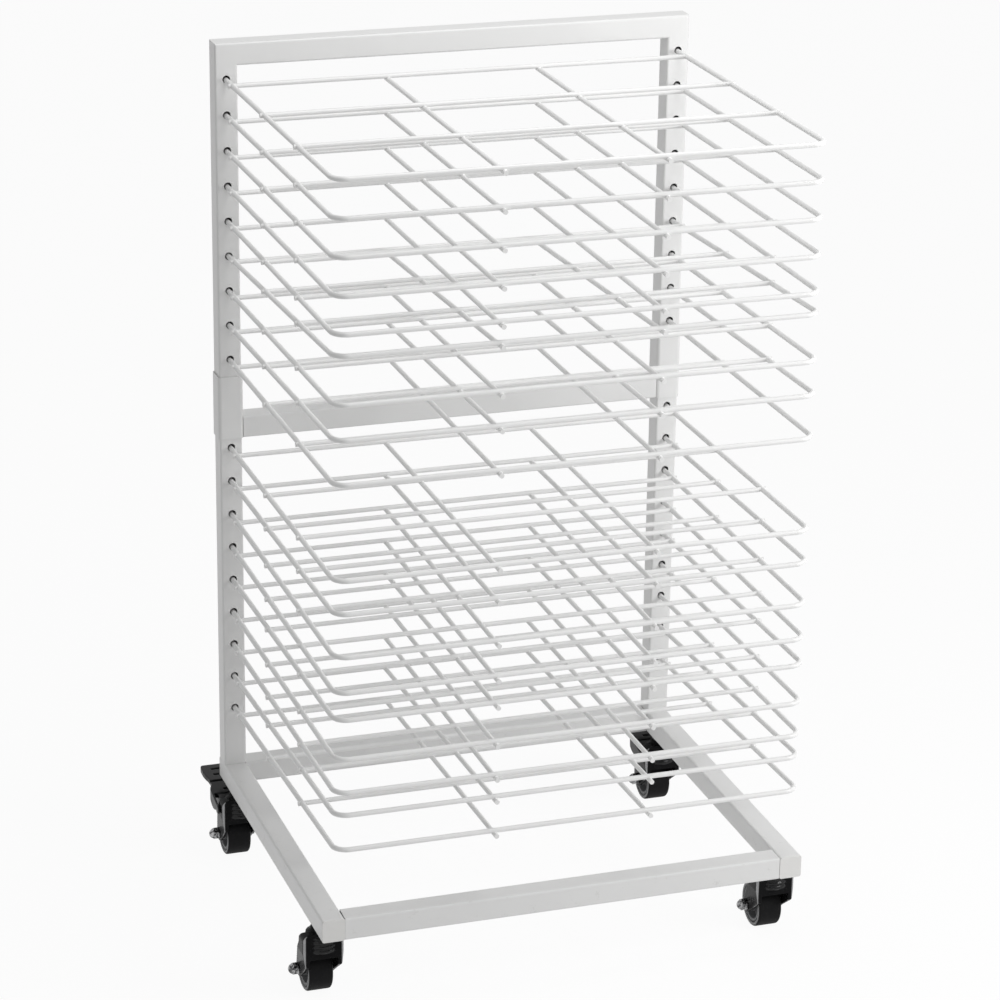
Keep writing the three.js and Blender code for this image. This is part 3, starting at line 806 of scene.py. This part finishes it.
black_fork, black = new_finish("black_fork")
spot = black.node("ShaderNodeTexCoord", take="Object")
moulded = noise_on(black, spot, scale=1100.0, detail=3.0)
dust = noise_on(black, spot, scale=45.0, detail=5.0, roughness=0.65)
# Painted highlight: a grey, partly metallic sheen painted along the rounded front corners of the
# legs.
painted_corner_sheen = black.node("ShaderNodeAttribute", {"attribute_name": "painted_corner_sheen"}, {}, "Fac")
polished = black.node("ShaderNodeAttribute", {"attribute_name": "polished"}, {}, "Fac")
fork_black = mix_colours(black, dust, (0.006, 0.006, 0.0065, 1.0), (0.013, 0.013, 0.0135, 1.0))
painted_sheen_grey = (0.42, 0.42, 0.425, 1.0)
fork_colour = mix_colours(black, painted_corner_sheen * (0.55 + dust * 0.5), fork_black, painted_sheen_grey)
fork_bump = bump_from(black, moulded, strength=0.10, distance=0.0002)
close_finish(black, {
    "Base Color": fork_colour,
    "Metallic": painted_corner_sheen * 0.5,
    "Roughness": 0.20 + dust * 0.14,
    "Specular IOR Level": 0.035,
    "Coat Weight": polished * 0.4,
    "Coat Roughness": 0.06,
    "Normal": fork_bump,
})


def arc(centre_y, centre_z, radius, start, end, steps):
    angles = [start + (end - start) * step / steps for step in range(steps + 1)]
    return [(centre_y + radius * math.cos(a), centre_z + radius * math.sin(a)) for a in angles]


across = Matrix(((0, 0, 1, 0), (1, 0, 0, 0), (0, 1, 0, 0), (0, 0, 0, 1)))
lengthwise = Matrix(((1, 0, 0, 0), (0, 0, 1, 0), (0, 1, 0, 0), (0, 0, 0, 1)))


def side_prism(outline, half_width):
    shape = prism(outline, -half_width, half_width)
    shape.transform(across)
    return shape


def axle_bar(radius, half_width, y, z, sides=24):
    return side_prism([(y + a, z + b) for a, b in polygon(radius, sides)], half_width)


def stepped_block(low_half, high_half, front, back, top, corner):
    """A block as seen from the front: narrow at the axle, wider higher up, with round shoulders."""
    right = [(low_half, -0.010), (low_half, flare_low), (high_half, flare_high)]
    right += arc(high_half - corner, top - corner, corner, 0.0, math.pi / 2, 8)
    outline = right + [(-a, b) for a, b in right[::-1]]
    shape = prism(outline, front, back)
    shape.transform(lengthwise)
    bmesh.ops.recalc_face_normals(shape, faces=shape.faces)
    return shape


def mirrored_plan(right, low, high):
    """An upright block whose outline seen from above is given for its right half."""
    return prism(right + [(-a, b) for a, b in right[::-1]], low, high)


def mould(name, body, steps, finish):
    """Unites the shapes of a moulded piece and softens all its edges alike."""
    piece = assemble(name, body, steps, finish, Matrix.Identity(4), 0.0)
    remesh = piece.modifiers.new("skin", "REMESH")
    remesh.mode = "VOXEL"
    remesh.voxel_size = mould_voxel
    soften = piece.modifiers.new("soften", "SMOOTH")
    soften.factor = 0.5
    soften.iterations = 6
    thin_out = piece.modifiers.new("thin_out", "DECIMATE")
    thin_out.ratio = mould_keep
    return settle(piece, Matrix.Identity(4), 0.0)


def copy_to(pattern, name, place):
    mesh = pattern.data.copy()
    mesh.transform(place)
    made = bpy.data.objects.new(name, mesh)
    bpy.context.scene.collection.objects.link(made)
    return made


leg_slope = math.atan2(leg_foot - axle_height, wheel_trail + fork_front)
fork_outline = [
    (-fork_front - overcut, fork_top + overcut),
    (-fork_front - overcut, leg_foot + overcut / 2),
]
fork_outline += arc(
    wheel_trail, axle_height, boss_radius, -math.pi / 2 - leg_slope, 0.15 * math.pi, 14
)
fork_outline += [
    (0.006, fork_top - 0.015),
    (0.005, fork_top - 0.009),
    (0.001, fork_top - 0.004),
    (-0.004, fork_top - 0.001),
    (-0.006, fork_top + overcut),
]
fork_plan = [(fork_outer, 0.060)]
fork_plan += arc(
    fork_outer - front_corner, front_corner - fork_front, front_corner, 0.0, -math.pi / 2, 8
)
cup_profile = [
    (0, cup_foot),
    (cup_radius - cup_edge, cup_foot),
    (cup_radius, cup_foot + cup_edge),
]
for step in (1, 2, 3):
    groove = cup_foot + ring_pitch * step
    cup_profile += [
        (cup_radius, groove - groove_mouth),
        (cup_radius - ring_groove, groove - groove_floor),
        (cup_radius - ring_groove, groove + groove_floor),
        (cup_radius, groove + groove_mouth),
    ]
cup_profile += [
    (cup_radius, room_top - cup_edge),
    (cup_radius - cup_edge, room_top - 0.0005),
    (crown_neck, fork_top - 0.001),
    (crown_neck - 0.001, fork_top),
    (0, fork_top),
]
crown_profile = [
    (head_room, room_top - 0.004),
    (crown_radius, room_top - 0.004),
    (crown_radius, room_top - 0.0025),
    (crown_neck - 0.0005, fork_top - 0.002),
    (head_room, fork_top - 0.002),
]
bearing_profile = [
    (0, fork_top - 0.001),
    (bearing_radius, fork_top - 0.001),
    (bearing_radius, fork_top + bearing_height - 0.0015),
    (bearing_radius - 0.0015, fork_top + bearing_height),
    (0, fork_top + bearing_height),
]
stem_bore_profile = [
    (0, fork_top - 0.010),
    (stem_radius + running_gap, fork_top - 0.010),
    (stem_radius + running_gap, fork_top + 0.010),
    (0, fork_top + 0.010),
]
web_cut = [
    (-web_cut_half, -0.05),
    (web_cut_half, -0.05),
    (web_cut_half, 0.002),
    (-web_cut_half, 0.002),
]


def fork_shape(name, with_pin):
    outside = stepped_block(
        leg_outer, fork_outer, front=-0.05, back=0.08, top=fork_top, corner=fork_shoulder
    )
    room = stepped_block(
        leg_inner, fork_inner, front=web_back, back=0.09, top=room_top, corner=0.001
    )
    steps = [
        ("INTERSECT", outside),
        ("INTERSECT", mirrored_plan(fork_plan, low=0.0, high=0.1)),
        ("UNION", turned(cup_profile, 48)),
        ("DIFFERENCE", room),
        ("DIFFERENCE", prism(web_cut, 0.0, web_foot)),
        ("UNION", turned(crown_profile, 48, closed=True)),
        ("UNION", turned(bearing_profile, 48)),
        ("DIFFERENCE", turned(stem_bore_profile, 32)),
        ("DIFFERENCE", axle_bar(axle_bore, drill_half, wheel_trail, axle_height)),
    ]
    if with_pin:
        steps.append(("DIFFERENCE", axle_bar(pin_radius + running_gap, drill_half, 0.0, pivot_z)))
    made = mould(name, side_prism(fork_outline, fork_outer + overcut), steps, black_fork)
    # Painted highlight: each point of a leg corner that faces both the side and the front gets a
    # share of the grey sheen.
    corner_sheen = made.data.attributes.new("painted_corner_sheen", "FLOAT", "POINT")
    gloss = made.data.attributes.new("polished", "FLOAT", "POINT")
    for point in made.data.vertices:
        on_cup = point.co.y < -fork_front - 0.0003 and point.co.z > cup_foot - 0.001
        gloss.data[point.index].value = 1.0 if on_cup else 0.0
        if abs(point.co.x) > leg_outer and point.co.y < 0.0:
            turn = min(abs(point.normal.x), -point.normal.y)
            sheen_share = (turn - sheen_start) / sheen_span
            corner_sheen.data[point.index].value = min(1.0, max(0.0, sheen_share))
    return made


for end in ("front", "rear"):
    fork_pattern = fork_shape("fork_pattern", end == "rear")
    for side in ("left", "right"):
        place_name = end + "_" + side
        x, y = caster_places[place_name]
        piece = copy_to(fork_pattern, "fork_shell_" + place_name, Matrix.Translation((x, y, 0.0)))
        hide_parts("caster_fork_" + place_name)
        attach(piece, "fork_" + place_name)
    bpy.data.objects.remove(fork_pattern)

# Axle bolts: a plated bolt through both legs of each fork.
# It has a six-sided head on the right and a domed nut on the left.
axle_radius = 0.004
nut_radius = 0.0072
nut_height = 0.006
dome_radius = 0.0058
head_height = 0.0035
bolt_edge = 0.0003
face = leg_outer + 0.0003


def on_axle(x, y):
    """The place of a wheel whose stem stands at x, y, with its own Z axis along the axle."""
    middle = Matrix.Translation((x, y + wheel_trail, axle_height))
    return middle @ Matrix.Rotation(math.pi / 2, 4, "Y")


for place_name, (x, y) in caster_places.items():
    head, head_corners = hexagon_nut(nut_radius, face, face + head_height)
    shank = turned([
        (0, -face - 0.003),
        (axle_radius, -face - 0.003),
        (axle_radius, face + 0.001),
        (0, face + 0.001),
    ], 24)
    dome_start = -face - nut_height + 0.001
    dome_profile = [(0, -face), (dome_radius, -face)]
    for step in range(9):
        angle = step * math.pi / 16
        radius = dome_radius * math.cos(angle) if step < 8 else 0
        dome_profile.append((radius, dome_start - dome_radius * math.sin(angle)))
    dome = turned(dome_profile, 32)
    nut = prism(polygon(nut_radius, 6), -face - nut_height, -face)
    steps = [head_corners, ("UNION", shank), ("UNION", nut), ("UNION", dome)]
    piece = assemble("axle_" + place_name, head, steps, zinc_plate, on_axle(x, y), bolt_edge)
    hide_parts("axle_bolt_" + place_name)
    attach(piece, frame["nodes"]["axle_bolt_" + place_name]["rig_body"])

# Wheel hubs: grey moulded centres with a boss, a thin web and a rim that the tyre is moulded on.
# The boss runs on the axle bolt, with a small clearance to both legs of the fork.
hub_grey, hub_mix = new_finish("grey_hub")
spot = hub_mix.node("ShaderNodeTexCoord", take="Object")
hub_grain = noise_on(hub_mix, spot, scale=900.0, detail=3.0)
hub_dust = noise_on(hub_mix, spot, scale=70.0, detail=5.0, roughness=0.6)
hub_colour = mix_colours(hub_mix, hub_dust, (0.12, 0.123, 0.126, 1.0), (0.18, 0.183, 0.187, 1.0))
hub_bump = bump_from(hub_mix, hub_grain, strength=0.15, distance=0.0002)
close_finish(hub_mix, {
    "Base Color": hub_colour,
    "Roughness": 0.42 + hub_dust * 0.18,
    "Normal": hub_bump,
})

rim_radius = 0.0207
rim_half = 0.0125
web_half = 0.0040
hub_boss_radius = 0.0080
hub_boss_half = 0.0147
hub_half = [
    (axle_bore, hub_boss_half),
    (hub_boss_radius - 0.0005, hub_boss_half),
    (hub_boss_radius, hub_boss_half - 0.0006),
    (0.0092, web_half + 0.0008),
    (0.0102, web_half),
    (0.0155, web_half),
    (0.0164, web_half + 0.0010),
    (0.0167, rim_half - 0.0005),
    (0.0172, rim_half),
    (rim_radius, rim_half),
]
hub_profile = hub_half[::-1] + [(radius, -level) for radius, level in hub_half]
for place_name, (x, y) in caster_places.items():
    hub = turned(hub_profile, 48, closed=True)
    piece = assemble("hub_" + place_name, hub, [], hub_grey, on_axle(x, y), 0.0)
    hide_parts("wheel_hub_" + place_name)
    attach(piece, "wheel_" + place_name)

# Tyres: rubber moulded round the hubs, with grey side walls, round shoulders and a black tread.
# A parting line runs round the tread, and a little floor dust is rubbed into it.
tyre_inner = 0.021
tyre_half = 0.0135
shoulder = 0.0026
parting_half = 0.0004
parting_depth = 0.0002
tread_start = axle_height - 0.0018
tread_fade = 0.0008

black_tyre, rubber = new_finish("black_tyre")
spot = rubber.node("ShaderNodeTexCoord", take="Object")
tread = rubber.node("ShaderNodeAttribute", {"attribute_name": "tread"}, {}, "Fac")
rub = noise_on(rubber, spot, scale=160.0, detail=6.0, roughness=0.7)
fine = noise_on(rubber, spot, scale=1500.0, detail=3.0)
floor_dust = tread * ramp_between(rubber, rub, low=0.50, high=0.80)
side_grey = mix_colours(rubber, rub, (0.28, 0.28, 0.285, 1.0), (0.40, 0.40, 0.405, 1.0))
clean_black = (0.006, 0.006, 0.0065, 1.0)
dusty_black = (0.022, 0.0215, 0.021, 1.0)
tread_black = mix_colours(rubber, floor_dust * 0.5, clean_black, dusty_black)
tyre_colour = mix_colours(rubber, tread, side_grey, tread_black)
tyre_bump = bump_from(rubber, fine, strength=0.2, distance=0.0002)
close_finish(rubber, {
    "Base Color": tyre_colour,
    "Roughness": 0.45 + tread * 0.15 + rub * 0.12,
    "Specular IOR Level": 0.12,
    "Normal": tyre_bump,
})

tyre_side = [(tyre_inner, tyre_half - 0.001), (tyre_inner + 0.001, tyre_half)]
for step in range(9):
    turn = step * math.pi / 16
    tyre_side.append((
        axle_height - shoulder + shoulder * math.sin(turn),
        tyre_half - shoulder + shoulder * math.cos(turn),
    ))
tyre_side += [(axle_height, parting_half), (axle_height - parting_depth, 0.0)]
tyre_profile = tyre_side + [(radius, -level) for radius, level in tyre_side[-2::-1]]
for place_name, (x, y) in caster_places.items():
    tyre = turned(tyre_profile, 72, closed=True)
    piece = assemble("tyre_" + place_name, tyre, [], black_tyre, on_axle(x, y), 0.0)
    worn = piece.data.attributes.new("tread", "FLOAT", "POINT")
    for point in piece.data.vertices:
        offset = point.co - Vector((x, y + wheel_trail, axle_height))
        from_axle = math.hypot(offset.y, offset.z)
        share = (from_axle - tread_start) / tread_fade
        worn.data[point.index].value = min(1.0, max(0.0, share))
    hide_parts("wheel_tyre_" + place_name)
    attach(piece, "wheel_" + place_name)

# Brake pedals: black moulded levers on pins through the legs of the two rear forks.
# Rounded cheeks lie outside the legs, a sloping neck leads to a wide toe with slots,
# and an arm between the legs ends in a curved face above the tyre.
pedal_half = 0.0255
cheek_y = 0.018
cheek_z = fork_top - 0.0012
cheek_radius = 0.0212
cheek_gap = 0.0005
neck_start = 0.0215
neck_plate = 0.006
toe_start = 0.047
toe_end = 0.080
toe_foot = fork_top - neck_plate
toe_top = fork_top + 0.004
lug_radius = 0.0055
arm_gap = 0.0003
tyre_sweep = 0.0305
slot_half = 0.0015
slot_depth = 0.0022
slot_mouth_half = 0.0018
slot_mouth = 0.003
# Each slot: how far behind the stem, the height of the top there, half the length of the slot
top_slots = (
    (0.0695, 0.0844, 0.0150),
    (0.0575, 0.0830, 0.0150),
    (0.0445, 0.0811, 0.0300),
    (0.0285, 0.0775, 0.0105),
)

black_pedal, lever = new_finish("black_pedal")
spot = lever.node("ShaderNodeTexCoord", take="Object")
lever_grain = noise_on(lever, spot, scale=900.0, detail=3.0)
sole_rub = noise_on(lever, spot, scale=120.0, detail=6.0, roughness=0.7)
lever_height = lever.node("ShaderNodeSeparateXYZ", {}, {"Vector": spot}, "Z")
worn_top = ramp_between(lever, lever_height, low=0.080, high=0.0865)
sole_marks = worn_top * ramp_between(lever, sole_rub, low=0.45, high=0.72)
lever_black = (0.007, 0.007, 0.0075, 1.0)
sole_grey = (0.034, 0.0335, 0.033, 1.0)
lever_colour = mix_colours(lever, sole_marks * 0.5, lever_black, sole_grey)
lever_bump = bump_from(lever, lever_grain, strength=0.16, distance=0.0002)
close_finish(lever, {
    "Base Color": lever_colour,
    "Roughness": 0.26 + sole_rub * 0.18,
    "Specular IOR Level": 0.2,
    "Normal": lever_bump,
})

cheek_outline = [(toe_start, fork_top)]
cheek_outline += arc(cheek_y, cheek_z, cheek_radius, 1.15 * math.pi, 1.83 * math.pi, 24)
cheek_outline += [(toe_start + 0.001, toe_foot), (toe_start + 0.001, fork_top)]
cheek_front, cheek_level = cheek_outline[1]
neck_slope = (fork_top - cheek_level) / (toe_start - cheek_front)
neck_top = fork_top - neck_slope * (toe_start - neck_start)
under_neck = [
    (-0.020, 0.0),
    (toe_start, 0.0),
    (toe_start, toe_foot),
    (neck_start, neck_top - neck_plate),
    (neck_start, 0.120),
    (-0.020, 0.120),
]
arm_outline = arc(0.0, pivot_z, lug_radius, math.pi / 2, 1.75 * math.pi, 12) + [
    (0.03067, 0.0515),
    (toe_start, toe_foot),
    (toe_start, fork_top - 0.001),
    (neck_start, neck_top - 0.001),
]
toe_outline = [
    (toe_start, toe_foot),
    (toe_end - 0.002, toe_top - 0.007),
    (toe_end, toe_top - 0.005),
    (toe_end, toe_top),
    (toe_start, fork_top),
]
pedal_plan = [
    (pedal_half, -0.010),
    (pedal_half, 0.031),
    (0.0245, 0.0345),
    (0.0225, 0.0375),
    (0.0220, 0.0400),
    (0.0220, 0.0460),
    (0.0228, 0.0520),
    (0.0245, 0.0590),
    (pedal_half, 0.0660),
    (pedal_half, 0.0765),
    (0.0245, 0.0790),
    (0.0225, 0.0805),
]


def top_slot(y, z, half_length):
    """A narrow slot across the top of the pedal, a little wider at its mouth."""
    slot = [
        (y - slot_half, z - slot_depth),
        (y + slot_half, z - slot_depth),
        (y + slot_mouth_half, z + slot_mouth),
        (y - slot_mouth_half, z + slot_mouth),
    ]
    return side_prism(slot, half_length)


pedal_steps = [
    ("UNION", axle_bar(lug_radius, pedal_half, 0.0, pivot_z)),
    ("DIFFERENCE", side_prism(under_neck, fork_outer + cheek_gap)),
    ("UNION", side_prism(arm_outline, fork_inner - arm_gap)),
    ("UNION", side_prism(toe_outline, pedal_half)),
    ("UNION", axle_bar(pin_radius, pedal_half, 0.0, pivot_z)),
    ("INTERSECT", mirrored_plan(pedal_plan, low=0.0, high=0.1)),
    ("DIFFERENCE", axle_bar(tyre_sweep, fork_inner, wheel_trail, axle_height, 64)),
]
pedal_steps += [("DIFFERENCE", top_slot(*slot)) for slot in top_slots]
cheeks = side_prism(cheek_outline, pedal_half)
pedal_pattern = mould("pedal_pattern", cheeks, pedal_steps, black_pedal)
for place_name in ("rear_left", "rear_right"):
    x, y = caster_places[place_name]
    piece = copy_to(pedal_pattern, "pedal_" + place_name, Matrix.Translation((x, y, 0.0)))
    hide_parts("brake_pedal_" + place_name)
    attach(piece, "pedal_" + place_name)
bpy.data.objects.remove(pedal_pattern)

# Floor: a plain white sweep that the rack stands on.
# For the camera it is lifted to white, and it keeps a soft shadow of the rack.
floor_lift = 0.94
plain_white = (1.0, 1.0, 1.0, 1.0)


def direct_rays(tree):
    """One for rays that show a surface to the camera, straight or by reflection, else nought."""
    kinds = ("Is Camera Ray", "Is Glossy Ray", "Is Transmission Ray")
    straight, mirrored, through = [tree.node("ShaderNodeLightPath", take=kind) for kind in kinds]
    return straight + mirrored + through


floor_mesh = bmesh.new()
bmesh.ops.create_grid(floor_mesh, x_segments=8, y_segments=8, size=20.0)
floor = shape_object("floor", floor_mesh)
floor_white, ground = new_finish("floor_white")
plain = ground.node("ShaderNodeBsdfDiffuse", {}, {"Color": (0.90, 0.90, 0.90, 1.0)})
bright = ground.node("ShaderNodeEmission", {}, {"Color": plain_white, "Strength": 1.0})
seen = direct_rays(ground) * floor_lift
lifted = ground.node("ShaderNodeMixShader", {}, {0: seen, 1: plain, 2: bright})
ground.node("ShaderNodeOutputMaterial", {}, {"Surface": lifted})
floor.data.materials.append(floor_white)

# Studio light: an even white surround, one soft lamp on the right and one above the rack.
# Both lamps stand close, so the frame is brightest at its upper right and greyer on the left sides.
scene = bpy.context.scene
scene.view_settings.view_transform = "Standard"
surround = bpy.data.worlds.new("white_surround")
surround.use_nodes = True
surround.node_tree.nodes.clear()
sky = Socket(surround.node_tree)
ambient = sky.node("ShaderNodeBackground", {}, {"Color": plain_white, "Strength": 0.40})
backdrop = sky.node("ShaderNodeBackground", {}, {"Color": plain_white, "Strength": 1.0})
both = sky.node("ShaderNodeMixShader", {}, {0: direct_rays(sky), 1: ambient, 2: backdrop})
sky.node("ShaderNodeOutputWorld", {}, {"Surface": both})
scene.world = surround


def soft_lamp(name, size, watts, stand, target):
    lamp = bpy.data.lights.new(name, "AREA")
    lamp.shape = "DISK"
    lamp.size = size
    lamp.energy = watts
    holder = bpy.data.objects.new(name, lamp)
    holder.location = stand
    holder.rotation_euler = (Vector(target) - Vector(stand)).to_track_quat("-Z", "Y").to_euler()
    scene.collection.objects.link(holder)


rack_centre = (0.0, 0.0, 0.5)
soft_lamp("right_lamp", size=0.7, watts=11.5, stand=(1.15, -0.95, 0.95), target=rack_centre)
soft_lamp("top_lamp", size=0.7, watts=6.0, stand=(0.15, -0.30, 1.85), target=rack_centre)

# Camera: at the photograph's viewing angle, in front of the rack, to its left and above it.
# The lens is long, so the uprights stay nearly parallel in the picture.
camera_stand = Vector((rack_middle - 1.15538, upright_face - 3.57445, 1.80483))
side_angle = math.radians(-18.728)
down_angle = math.radians(20.382)
roll_angle = math.radians(0.816)
focal_pixels = 3542.8
picture_width = 1000.0
sensor_width = 36.0
back = Vector((
    math.sin(side_angle) * math.cos(down_angle),
    -math.cos(side_angle) * math.cos(down_angle),
    math.sin(down_angle),
))
level_right = Vector((math.cos(side_angle), math.sin(side_angle), 0.0))
level_up = back.cross(level_right)
right = level_right * math.cos(roll_angle) + level_up * math.sin(roll_angle)
up = level_up * math.cos(roll_angle) - level_right * math.sin(roll_angle)
lens = bpy.data.cameras.new("camera")
lens.sensor_width = sensor_width
lens.lens = focal_pixels / picture_width * sensor_width
lens.clip_end = 100.0
camera = bpy.data.objects.new("camera", lens)
camera.matrix_world = Matrix((
    (right.x, up.x, back.x, camera_stand.x),
    (right.y, up.y, back.y, camera_stand.y),
    (right.z, up.z, back.z, camera_stand.z),
    (0.0, 0.0, 0.0, 1.0),
))
scene.collection.objects.link(camera)
scene.camera = camera
